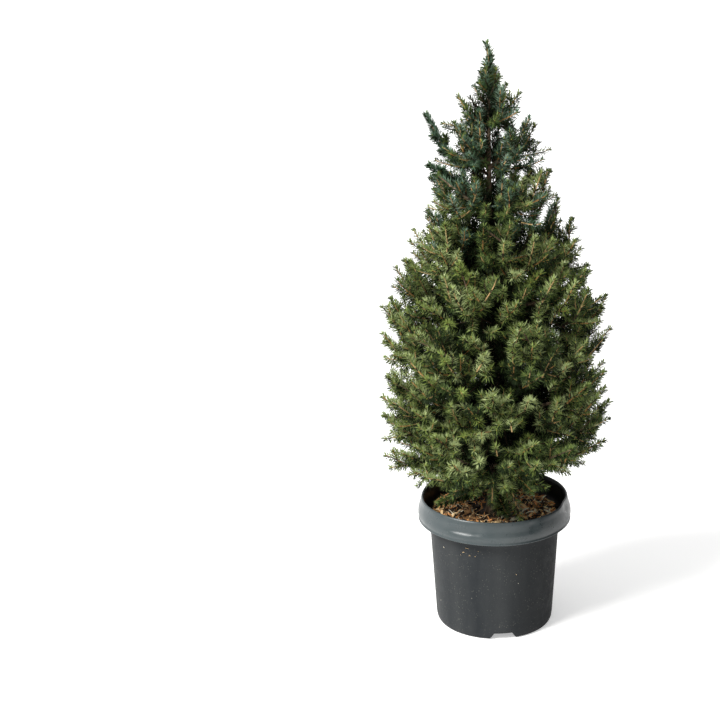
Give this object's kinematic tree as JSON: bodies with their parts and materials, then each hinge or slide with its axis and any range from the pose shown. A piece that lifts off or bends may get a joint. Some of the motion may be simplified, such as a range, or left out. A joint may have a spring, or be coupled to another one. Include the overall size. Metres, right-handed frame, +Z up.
{
  "type": "potted alberta spruce",
  "caption": "Dense conical dwarf conifer growing on one upright trunk in a round plastic nursery pot with a turned-down rim, filled with bark mulch.",
  "frame": {"origin": "middle of the pot's foot, on the surface that the pot stands on", "axes": "+Z up along the trunk, +X to the right and -Y towards the viewer"},
  "size_m": [0.3143, 0.3127, 0.811],
  "materials": {
    "pot_plastic": "satin",
    "bark_mulch": "matte",
    "bark": "matte",
    "needles": "matte"
  },
  "bodies": {
    "root": {"bough_1_1": "bark", "bough_1_2": "bark", "bough_1_3": "bark", "bough_1_4": "bark", "bough_1_5": "bark", "bough_1_6": "bark", "bough_2_1": "bark", "bough_2_2": "bark", "bough_2_3": "bark", "bough_2_4": "bark", "bough_2_5": "bark", "bough_2_6": "bark", "foliage_1_1": "needles", "foliage_1_2": "needles", "foliage_1_3": "needles", "foliage_1_4": "needles", "foliage_1_5": "needles", "foliage_1_6": "needles", "foliage_2_1": "needles", "foliage_2_2": "needles", "foliage_2_3": "needles", "foliage_2_4": "needles", "foliage_2_5": "needles", "foliage_2_6": "needles", "foliage_3_1": "needles", "foliage_3_2": "needles", "foliage_3_3": "needles", "foliage_3_4": "needles", "foliage_3_5": "needles", "foliage_3_6": "needles", "foliage_4_1": "needles", "foliage_4_2": "needles", "foliage_4_3": "needles", "foliage_4_4": "needles", "foliage_4_5": "needles", "foliage_5_1": "needles", "foliage_5_2": "needles", "foliage_5_3": "needles", "foliage_5_4": "needles", "foliage_5_5": "needles", "foliage_6_1": "needles", "foliage_6_2": "needles", "foliage_6_3": "needles", "foliage_6_4": "needles", "foliage_7_1": "needles", "foliage_7_2": "needles", "foliage_7_3": "needles", "foliage_7_4": "needles", "foliage_leader": "needles", "foliage_leader_tip": "needles", "foliage_low_front": "needles", "foliage_low_left": "needles", "foliage_plume_high": "needles", "foliage_plume_low": "needles", "mulch_bed": "bark_mulch", "pot": "pot_plastic", "trunk": "bark"}
  },
  "joints": []
}
